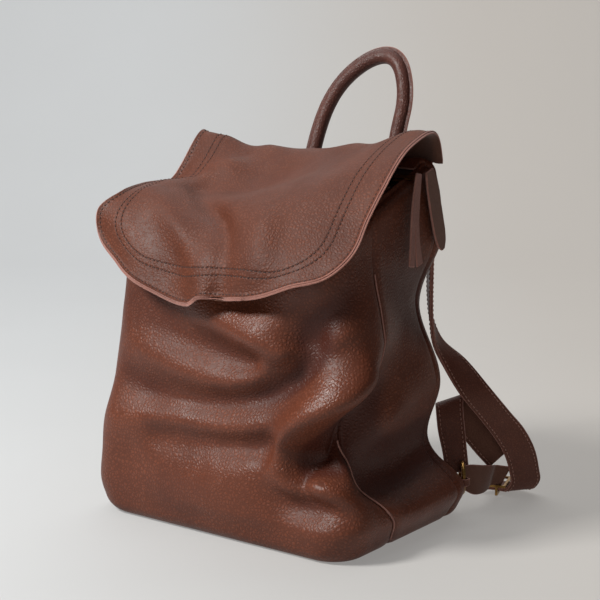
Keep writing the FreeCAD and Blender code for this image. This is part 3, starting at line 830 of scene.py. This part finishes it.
def folded_body():
    """The body's walls with their folds, and how far each point stands out, from -1 to 1."""
    grid = body_grid()
    normals = grid_normals(grid, closed=True)
    closed = np.concatenate([grid, grid[:, :1]], axis=1)
    girth = np.linalg.norm(np.diff(closed, axis=1), axis=2).mean(axis=0)
    around = np.concatenate([[0], np.cumsum(girth)])[:-1]
    total = girth.sum()
    flat = np.stack(np.broadcast_arrays(around[None, :], grid[..., 2]), -1)
    places = []
    heights = []
    for line in FOLDS.values():
        for x, y, z, height in smooth_line(line, FOLD_STEP):
            distance = np.linalg.norm(grid - np.array([x, y, z]), axis=2)
            row, column = np.unravel_index(int(np.argmin(distance)), distance.shape)
            places.append(flat[row, column])
            heights.append(height)
    # The base and the rim keep their plain shape.
    for step in np.arange(0, total, HOLD_STEP):
        column = int(np.argmin(np.abs(around - step)))
        for row in (0, -1):
            places.append(flat[row, column])
            heights.append(0.0)
    places = np.array(places)
    heights = np.array(heights) * FOLD_DEPTH
    # What lies near either end of the unrolled wall is repeated past the other end, so they meet.
    near_start = places[:, 0] < FOLD_OVERLAP
    near_end = places[:, 0] > total - FOLD_OVERLAP
    turn = np.array([total, 0])
    places = np.concatenate([places, places[near_start] + turn, places[near_end] - turn])
    heights = np.concatenate([heights, heights[near_start], heights[near_end]])
    rise = thin_plate(places, heights[:, None], FOLD_SMOOTHING)(flat)[..., 0]
    for k, (height, size) in enumerate(LUMPS):
        rise += height * field_noise(grid, size, k + 1)
    off_floor = np.clip(grid[..., 2] / FLOOR_EASE, 0, 1)
    off_rim = np.clip((grid[-1, :, 2] - grid[..., 2]) / RIM_EASE, 0, 1)
    rise *= off_floor * (RIM_SHARE + (1 - RIM_SHARE) * off_rim)
    ridge = np.clip(rise / FOLD_FULL, -1, 1)
    grid = grid + normals * (rise - seam_grooves(grid))[..., None]
    return grid, ridge


def seam_grooves(grid):
    """How far the leather dips towards the four seams."""
    count = grid.shape[1]
    along = np.arange(count)
    dip = np.zeros(grid.shape[:2])
    for start in STARTS[:-1]:
        gap = np.minimum(np.abs(along - start), count - np.abs(along - start))
        offset = np.linalg.norm(grid - grid[:, start:start + 1], axis=2)
        groove = sum(depth * np.exp(-(offset / width) ** 2) for depth, width in SEAM_DIPS)
        dip += np.where(gap < SEAM_DIP_COLUMNS, groove, 0)
    return dip


def make_body(materials):
    """Four wall panels, the two top panels, the base and the seam's turned edges."""
    grid, ridge = folded_body()
    skins = [materials["body"], materials["inside"], materials["edge"]]
    for k, name in enumerate(("front_panel", "right_side_panel", "back_panel", "left_side_panel")):
        columns = np.arange(STARTS[k], STARTS[k + 1] + 1) % STARTS[-1]
        piece = slab(name + "_leather", grid[:, columns], -PANEL_THICKNESS, 0.0, skins,
                     {"ridge": ridge[:, columns]}, bulge=0.1)
        finish_piece(piece, "bag", "body_leather", name)
    make_top(grid, skins)
    make_base(grid, skins)
    make_seam_edges(grid, materials["edge"])


def make_seam_edges(grid, material):
    """Turned edges that show along the seam between the front and the right side."""
    outward = grid_normals(grid, closed=True)[:, STARTS[1]]
    seam = grid[:, STARTS[1]] + outward * SEAM_EDGE_STANDOFF
    for word, low, high in SEAM_EDGES:
        line = seam[(seam[:, 2] > low) & (seam[:, 2] < high)]
        piece = tube_mesh("front_seam_edge_" + word, line, SEAM_EDGE_RADIUS, material, 8, up=(0, 1, 0.3))
        finish_piece(piece, "bag", "body_leather")


def lip_half_width(x):
    """From the zip's line to the edge of its mouth."""
    bow = 1 - (x / MOUTH_END) ** 2
    return LIP_AT_END + (LIP_AT_MIDDLE - LIP_AT_END) * np.clip(bow, 0, 1)


def make_top(grid, skins):
    """The two top panels, gathered from the rim in to the lips of the mouth."""
    rim = grid[-1]
    count = len(rim)
    lip_x = np.clip(rim[:, 0] * LIP_DRAW, -MOUTH_END, MOUTH_END)
    half = lip_half_width(lip_x)
    lip_y = np.clip(rim[:, 1], ZIP_Y - half, ZIP_Y + half)
    lip = np.stack([lip_x, lip_y, rim_height(lip_y) + LIP_LIFT], -1)
    along = arc_length(rim)
    pucker = sum(size * np.sin(along / length + phase) for size, length, phase in PUCKERS)
    rows = []
    for step in np.linspace(0, 1, TOP_ROWS):
        row = rim + (lip - rim) * step
        # The lift is over a little before the lip, which lies flat.
        row[:, 2] += TOP_LIFT * math.sin(math.pi * min(step * 1.15, 1.0)) * (1 + PUCKER_SHARE * pucker)
        rows.append(row)
    top = np.array(rows)
    from_zip = np.abs(rim[:, 1] - ZIP_Y)
    right = int(np.argmin(np.where(rim[:, 0] > FAR_SIDE, from_zip, np.inf)))
    left = int(np.argmin(np.where(rim[:, 0] < -FAR_SIDE, from_zip, np.inf)))
    front = np.arange(left, right + count + 1) % count
    back = np.arange(right, left + 1) % count
    for name, columns in (("front_top_panel", front), ("back_top_panel", back)):
        piece = slab(name + "_leather", top[:, columns], -PANEL_THICKNESS, 0.0, skins,
                     {"ridge": np.zeros((TOP_ROWS, len(columns)))})
        finish_piece(piece, "bag", "body_leather", name)


def make_base(grid, skins):
    """The base panel, from the walls' lowest row in to a small gap at its middle."""
    ring = grid[0]
    rows = np.array([ring * (1 - step) + BASE_CENTRE * step
                     for step in np.linspace(0, BASE_REACH, BASE_ROWS)])
    closed = np.concatenate([rows, rows[:, :1]], axis=1)
    piece = slab("base_panel_leather", closed[::-1], -PANEL_THICKNESS, 0.0, skins,
                 {"ridge": np.zeros(closed.shape[:2])})
    finish_piece(piece, "bag", "body_leather", "base_panel")


# ---------------------------------------------------------------- flap
flap_surface = thin_plate(*zip(*FLAP_CONTROL), FLAP_SMOOTHING)


def edge_distance(flat):
    """How far inside the flap's free edge each point lies."""
    beyond_side = np.maximum(np.abs(flat[..., 0]) - (FLAP_HALF_WIDTH - FLAP_CORNER), 0)
    beyond_front = np.maximum(flat[..., 1] - (FLAP_LENGTH - FLAP_CORNER), 0)
    return FLAP_CORNER - np.hypot(beyond_side, beyond_front)


def surface_normals(surface, flat, step=0.6):
    """Unit normals of a surface that is a function of flat points."""
    across = surface(flat + np.array([step, 0])) - surface(flat - np.array([step, 0]))
    down = surface(flat + np.array([0, step])) - surface(flat - np.array([0, step]))
    return unit(np.cross(down, across))


def flap_at(flat):
    """Where a point of the cut leather lies: the hanging shape, its folds and its curled edge."""
    rise = np.zeros(flat.shape[:-1])
    for fold in FLAP_FOLDS:
        line = smooth_line(fold, 4.0)
        offset = np.linalg.norm(flat[..., None, :] - line[:, :2], axis=-1)
        nearest = np.argmin(offset, axis=-1)
        rise += line[nearest, 2] * np.exp(-(offset.min(axis=-1) / FLAP_FOLD_WIDTH) ** 2)
    rise += CURL_RISE * np.clip(1 - edge_distance(flat) / CURL_WIDTH, 0, 1.3) ** 2
    return flap_surface(flat) + surface_normals(flap_surface, flat) * rise[..., None]


def flap_normals(flat):
    return surface_normals(flap_at, flat)


def flap_flat_grid(inset, step):
    """The flap's cut shape as rows and columns: straight sides and two round front corners."""
    half = FLAP_HALF_WIDTH - inset
    corner = FLAP_CORNER - inset
    straight = np.arange(-FLAP_SEWN, FLAP_LENGTH - FLAP_CORNER, step)
    turns = np.linspace(0, math.pi / 2, int(1.4 * corner / step))
    downs = np.concatenate([straight, FLAP_LENGTH - FLAP_CORNER + corner * np.sin(turns)])
    widths = np.concatenate([np.full(len(straight), half), half - corner + corner * np.cos(turns)])
    across = np.linspace(-1, 1, int(2 * half / step) + 1)
    return np.stack([widths[:, None] * across[None, :], np.repeat(downs[:, None], len(across), 1)], -1)


def flap_outline(inset):
    """Line round the flap's free edges at a distance inside them, from left to right."""
    step = 1.5
    half = FLAP_HALF_WIDTH - inset
    corner = FLAP_CORNER - inset
    low = FLAP_LENGTH - FLAP_CORNER
    down = np.arange(-15.0, low, step)
    turns = np.linspace(0, math.pi / 2, int(1.6 * corner / step))
    front = np.arange(-(half - corner) + step, half - corner, step)
    left = np.stack([np.full(len(down), -half), down], -1)
    left_corner = np.stack([-(half - corner) - corner * np.cos(turns), low + corner * np.sin(turns)], -1)
    bottom = np.stack([front, np.full(len(front), low + corner)], -1)
    right_half = np.concatenate([left, left_corner])[::-1] * np.array([-1, 1])
    return np.concatenate([left, left_corner, bottom, right_half])


def make_flap(materials):
    """Outer leather, suede facing under it and the stitches through both."""
    flat = flap_flat_grid(0.0, 2.0)[:, ::-1]
    outer = slab("flap_outer_leather", flap_at(flat), -FLAP_LAYER, 0.0,
                 [materials["flap"], materials["inside"], materials["edge"]], {"inset": edge_distance(flat)})
    flat = flap_flat_grid(-FACING_MARGIN, 2.4)[:, ::-1]
    under = flap_at(flat) - flap_normals(flat) * (FLAP_LAYER + 0.1)
    facing = slab("flap_suede_facing", under, -FLAP_LAYER, 0.0,
                  [materials["edge"], materials["inside"], materials["edge"]])
    lines = []
    for inset in (EDGE_STITCH_INSET, *STITCH_INSETS):
        outline = flap_outline(inset)
        lines.append((flap_at(outline), flap_normals(outline)))
    seams = stitch_mesh("flap_stitches", lines, materials["thread"])
    for piece, slot in ((outer, "flap_leather"), (facing, "suede_side"), (seams, "flap_leather")):
        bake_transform(piece)
    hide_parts("flap_shell")
    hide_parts("flap_facing")


def make_yoke(materials):
    """Sewn end of the flap: a band down the back."""
    across = np.linspace(*YOKE_SPAN, 110)
    line = smooth_line(YOKE_PROFILE, 1.8)
    grid = np.array([[(x, y, z) for x in across] for y, z in line])
    lift = np.interp(across, *YOKE_CREST)
    grid[..., 2] += lift[None, :] * np.linspace(1, 0.3, len(line))[:, None]
    piece = slab("flap_yoke_leather", grid, -YOKE_THICKNESS, 0.0,
                 [materials["flap"], materials["inside"], materials["edge"]])
    finish_piece(piece, "bag", "flap_leather", "flap_yoke")


# ---------------------------------------------------------------- handle
def handle_line():
    """Dense centre line of the handle: a smooth curve drawn by the points of its route."""
    up = np.array([0, math.sin(HANDLE_LEAN), math.cos(HANDLE_LEAN)])
    foot = np.array(HANDLE_FOOT)
    points = [foot + np.array([x, 0, 0]) + up * height for x, height in HANDLE_ROUTE]
    curve = bpy.data.curves.new("handle_route", "CURVE")
    curve.dimensions = "3D"
    spline = curve.splines.new("NURBS")
    spline.points.add(len(points) - 1)
    for point, place in zip(spline.points, points):
        point.co = (*place, 1.0)
    spline.order_u = 3
    spline.use_endpoint_u = True
    curve.resolution_u = 24
    holder = bpy.data.objects.new("handle_route", curve)
    mesh = bpy.data.meshes.new_from_object(holder)
    line = np.array([vertex.co[:] for vertex in mesh.vertices])
    bpy.data.meshes.remove(mesh)
    bpy.data.objects.remove(holder)
    bpy.data.curves.remove(curve)
    apart = np.linalg.norm(np.diff(line, axis=0), axis=1) > 0.2
    return smooth_line(line[np.concatenate([[True], apart])], 2.0)


def make_handle(materials):
    """Rolled leather handle with its sewn fin along the outside."""
    line = handle_line()
    cover = tube_mesh("handle_leather", line, HANDLE_RADIUS, materials["handle"], 24, up=(0, 1, 0.2))
    finish_piece(cover, "top_handle", "strap_leather", "handle_cover")
    along = unit(np.gradient(line, axis=0))
    outward = line - line.mean(axis=0)
    outward = unit(outward - along * (outward * along).sum(axis=1, keepdims=True))
    fin = np.stack([line + outward * (HANDLE_RADIUS + reach) for reach in FIN_REACHES], 1)
    seam = slab("handle_seam_leather", fin[2:-2], -FIN_HALF, FIN_HALF,
                [materials["handle"], materials["handle"], materials["edge"]])
    finish_piece(seam, "top_handle", "strap_leather")


# ---------------------------------------------------------------- straps and small leather
def ribbon_grid(edges):
    """Rows of points between a strap's near and far edges, about 3 mm apart along it."""
    near = np.array([pair[0] for pair in edges], float)
    far = np.array([pair[1] for pair in edges], float)
    both = np.concatenate([near, far], axis=1)
    along = arc_length((near + far) / 2)
    line = smooth_values(np.linspace(0, along[-1], int(along[-1] / 3.0) + 1), along, both)
    shares = np.linspace(0, 1, 13)[None, :, None]
    return line[:, None, :3] * (1 - shares) + line[:, None, 3:] * shares


def ribbon_insets(grid):
    """How far inside a ribbon's two long edges each of its points lies."""
    from_near = np.linalg.norm(grid - grid[:, :1], axis=2)
    from_far = np.linalg.norm(grid - grid[:, -1:], axis=2)
    return {"inset": np.minimum(from_near, from_far)}


def edge_lines(grid, inset, level):
    """Lines along a ribbon's two edges, inset from them and raised along its normals."""
    normals = grid_normals(grid)
    lines = []
    width = np.linalg.norm(grid[:, -1] - grid[:, 0], axis=1)[:, None]
    for first, second in ((0, -1), (-1, 0)):
        towards = (grid[:, second] - grid[:, first]) / width
        normal = normals[:, first]
        lines.append((grid[:, first] + towards * inset + normal * level, normal * np.sign(level)))
    return lines


def mirrored_grid(grid, side):
    """The grid itself on the right (1), or its mirror image on the left (-1)."""
    if side > 0:
        return grid
    return (grid * np.array([-1, 1, 1]))[:, ::-1]


def make_straps(materials):
    """Shoulder straps of leather sewn on suede, with their adjusters and folded tails."""
    for side, word in ((1, "right"), (-1, "left")):
        body = word + "_strap"
        strap = mirrored_grid(ribbon_grid(STRAP_EDGES), side)
        skins = [materials["strap"], materials["inside"], materials["edge"]]
        outer = slab(word + "_shoulder_strap_leather", strap, STRAP_JOIN, STRAP_LAYER, skins,
                     ribbon_insets(strap))
        finish_piece(outer, body, "strap_leather", word + "_shoulder_strap_outer")
        lining = slab(word + "_shoulder_strap_suede", strap, -STRAP_LAYER, -STRAP_JOIN,
                      [materials["inside"], materials["strap"], materials["edge"]])
        finish_piece(lining, body, "suede_side", word + "_shoulder_strap_lining")
        adjuster = mirrored_grid(ribbon_grid(ADJUSTER_EDGES), side)
        piece = slab(word + "_adjuster_leather", adjuster, -THIN_STRAP_HALF, THIN_STRAP_HALF, skins)
        finish_piece(piece, body, "strap_leather", word + "_adjuster_strap")
        tail = mirrored_grid(ribbon_grid(TAIL_EDGES), side)
        piece = slab(word + "_strap_tail_leather", tail, -THIN_STRAP_HALF, THIN_STRAP_HALF, skins,
                     ribbon_insets(tail))
        finish_piece(piece, body, "strap_leather", word + "_strap_tail")
        lines = []
        for ribbon, level in ((strap, STRAP_LAYER + 0.1), (tail, THIN_STRAP_HALF + 0.05)):
            lines += edge_lines(ribbon, STRAP_STITCH_INSET, level)
            lines += edge_lines(ribbon, STRAP_STITCH_INSET, -level)
        piece = stitch_mesh(word + "_strap_stitches", lines, materials["pale_thread"])
        finish_piece(piece, body, "strap_leather")


def flat_strip(line, x):
    """Strip in a plane of constant X from a centre line of (y, z) with half widths."""
    centres = np.array([place for place, _ in line], float)
    halves = np.array([[half] for _, half in line], float)
    along = arc_length(centres)
    where = np.linspace(0, along[-1], int(along[-1] / 2.2) + 1)
    both = smooth_values(where, along, np.concatenate([centres, halves], axis=1))
    direction = unit(np.gradient(both[:, :2], axis=0))
    side = np.stack([-direction[:, 1], direction[:, 0]], -1)
    shares = np.linspace(-1, 1, 7)
    rows = []
    for centre, normal, half in zip(both[:, :2], side, both[:, 2]):
        rows.append([(x, *(centre + normal * half * share)) for share in shares])
    return np.array(rows)


def make_zip_leather(materials):
    """Forked thong that hangs from the slider, and the tab at the zip's far end."""
    skins = [materials["thong"], materials["thong"], materials["edge"]]
    for k, tail in enumerate(THONG_TAILS):
        grid = flat_strip(tail, THONG_X)
        sway = np.linspace(0, 1, len(grid))[:, None]
        grid[..., 0] += THONG_SWAY * (1 - 2 * k) * sway**2
        piece = slab("zip_thong_tail_%d" % (k + 1), grid, -THIN_STRAP_HALF, THIN_STRAP_HALF, skins)
        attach(piece, "pull")
        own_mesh(piece)
        if k == 0:
            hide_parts("zip_pull_thong")
    skins = [materials["tab"], materials["inside"], materials["edge"]]
    grid = flat_strip(END_TAB, END_TAB_X)
    piece = slab("zip_end_tab_leather", grid, -END_TAB_HALF, END_TAB_HALF, skins)
    finish_piece(piece, "end_tab", "strap_leather", "zip_end_tab")


def make_patches(materials):
    """Patches sewn on the back panel under the handle's feet and the straps' ends: domed, with
    edges that come down to the panel, and drawn up behind the handle's feet."""
    skins = [materials["strap"], materials["inside"], materials["edge"]]
    lines = []
    for node in ("left_handle_tab", "right_handle_tab", "left_strap_anchor", "right_strap_anchor"):
        low, high = node_box(node)
        drawn_up = PATCH_PULL if "handle" in node else 0.0
        top = high[2] + drawn_up
        x, z = np.meshgrid(np.linspace(low[0], high[0], 16), np.linspace(top, low[2], 18))
        inside = np.minimum(np.minimum(x - low[0], high[0] - x), np.minimum(z - low[2], top - z))
        y = high[1] - PATCH_SEAT - PATCH_DOME * np.clip(1 - inside / PATCH_DOME_WIDTH, 0, 1) ** 2
        y += drawn_up * np.clip(1 - (top - z) / PATCH_PULL_REACH, 0, 1) ** 2
        grid = np.stack([x, y, z], -1)
        piece = slab(node + "_leather", grid, -PATCH_THICKNESS, 0.0, skins, {"inset": inside})
        finish_piece(piece, "bag", "strap_leather", node)
        normals = grid_normals(grid)
        sides = [(slice(1, -1), 2), (slice(1, -1), -3), (-3, slice(1, -1))]
        lines += [(grid[side] + 0.1 * normals[side], normals[side]) for side in sides]
    stitches = stitch_mesh("back_patch_stitches", lines, materials["pale_thread"])
    finish_piece(stitches, "bag", "strap_leather")


def make_ring_tabs(materials):
    """Short upright loops of leather that hold the rings to the bag's lower corners."""
    skins = [materials["strap"], materials["inside"], materials["edge"]]
    for side, word in ((1, "right"), (-1, "left")):
        low, high = node_box(word + "_ring_tab")
        turns = np.linspace(0, 2 * math.pi, 40)
        x = side * (RING_TAB_EYE[0] + RING_TAB_RADIUS * np.cos(turns))
        y = RING_TAB_EYE[1] + RING_TAB_RADIUS * np.sin(turns)
        grid = np.array([np.stack([x, y, np.full(40, z)], -1) for z in np.linspace(low[2], high[2], 4)])
        piece = slab(word + "_ring_tab_leather", grid, -RING_TAB_HALF, RING_TAB_HALF, skins)
        finish_piece(piece, "bag", "strap_leather", word + "_ring_tab")


def dress_frame(materials):
    """Finish the frame's own pieces that stay in sight."""
    looks = {"brass": ["zip_slider", "zip_puller", "zip_teeth_front", "zip_teeth_back",
                       "right_ring", "left_ring", "right_strap_buckle", "left_strap_buckle"],
             "tape": ["zip_tape_front", "zip_tape_back"],
             "board": ["base_board"],
             "inside": ["handle_core"]}
    for look, nodes in looks.items():
        for node in nodes:
            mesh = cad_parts[node].data
            if not mesh.materials:
                mesh.materials.append(materials[look])
            for k in range(len(mesh.materials)):
                mesh.materials[k] = materials[look]


# ---------------------------------------------------------------- stage, light and camera
def make_stage():
    """Pale paper floor that bends up into a far wall.  It glows as painted light that lifts the cast
    shadows, and has painted shade that turns it darker and warmer towards the right.
    """
    shader = Shader("glowing_studio_paper")
    grain = shader.noise(4.0, 2.0)
    side = shader.add("VectorMath", out=1, settings={"operation": "DOT_PRODUCT"}, at0=shader.place,
                      at1=tuple(RIGHTWARD))
    # Painted shade: the paper turns darker and warmer towards the right, as the light falls off.
    painted_falloff_shade = shader.scaled(side, -0.45, 0.55, smooth=True)
    tone = shader.mix(painted_falloff_shade, colour(208, 210, 211), colour(200, 195, 189))
    tone = shader.mix(shader.scaled(grain, 0.3, 0.7, 0.0, 0.04), tone, colour(180, 178, 175))
    # Painted shade: the paper far to the right is darker, away from the window light.
    tone = shader.mix(shader.scaled(side, 1.1, 2.2, smooth=True), tone, colour(158, 152, 147))
    # Painted light: the paper glows with its own tone to lift the cast shadows, and its base colour is
    # dimmed to match.
    glow_dimmed_base = shader.mix(0.42, tone, colour(0, 0, 0))
    material = shader.surface(Base_Color=glow_dimmed_base, Roughness=0.85, Specular_IOR_Level=0.2,
                              Emission_Color=tone, Emission_Strength=0.40)
    profile = [(-STAGE_REACH, 0.0), (0.0, 0.0)]
    for turn in np.linspace(0, math.pi / 2, 20):
        profile.append((STAGE_DEPTH + STAGE_BEND * math.sin(turn), STAGE_BEND * (1 - math.cos(turn))))
    profile.append((STAGE_DEPTH + STAGE_BEND, STAGE_REACH))
    grid = []
    for distance, height in profile:
        middle = UP * height - TOWARDS * distance
        grid.append([middle + RIGHTWARD * across for across in (-STAGE_REACH, 0, STAGE_REACH)])
    grid = np.array(grid)
    faces = grid_faces(np.arange(len(profile) * 3).reshape(-1, 3))
    floor = add_mesh("studio_floor", grid.reshape(-1, 3), faces, [material], sharp=80)


def aim(holder, place, target):
    holder.location = Vector(place) * MM
    direction = (Vector(target) - Vector(place)).normalized()
    holder.rotation_euler = direction.to_track_quat("-Z", "Y").to_euler()


def add_light(name, place, target, size, power, tone):
    data = bpy.data.lights.new(name, "AREA")
    data.shape = "RECTANGLE"
    data.size = size[0] * MM
    data.size_y = size[1] * MM
    data.energy = power
    data.color = tone
    holder = bpy.data.objects.new(name, data)
    bpy.context.scene.collection.objects.link(holder)
    aim(holder, place, target)


def make_light_and_camera():
    scene = bpy.context.scene
    scene.view_settings.view_transform = "Standard"
    world = bpy.data.worlds.new("studio")
    world.use_nodes = True
    background = world.node_tree.nodes["Background"]
    background.inputs["Color"].default_value = (0.95, 0.97, 1.0, 1.0)
    background.inputs["Strength"].default_value = 0.05
    scene.world = world

    steps = np.array([RIGHTWARD, TOWARDS, UP])
    for name, place, target, size, power, tone in LIGHTS:
        add_light(name, STAGE_MIDDLE + place @ steps, STAGE_MIDDLE + target @ steps, size, power, tone)

    camera_data = bpy.data.cameras.new("camera")
    camera_data.sensor_width = SENSOR_WIDTH
    camera_data.lens = SENSOR_WIDTH / 2 / math.tan(FIELD_OF_VIEW / 2)
    camera = bpy.data.objects.new("camera", camera_data)
    scene.collection.objects.link(camera)
    back = math.cos(VIEW_ELEVATION) * TOWARDS + math.sin(VIEW_ELEVATION) * UP
    aim(camera, np.array(TARGET) + VIEW_DISTANCE * back, TARGET)
    scene.camera = camera


def main():
    make_light_and_camera()
    materials = make_materials()
    make_stage()
    make_body(materials)
    make_flap(materials)
    make_yoke(materials)
    make_handle(materials)
    make_straps(materials)
    make_zip_leather(materials)
    make_patches(materials)
    make_ring_tabs(materials)
    dress_frame(materials)


main()
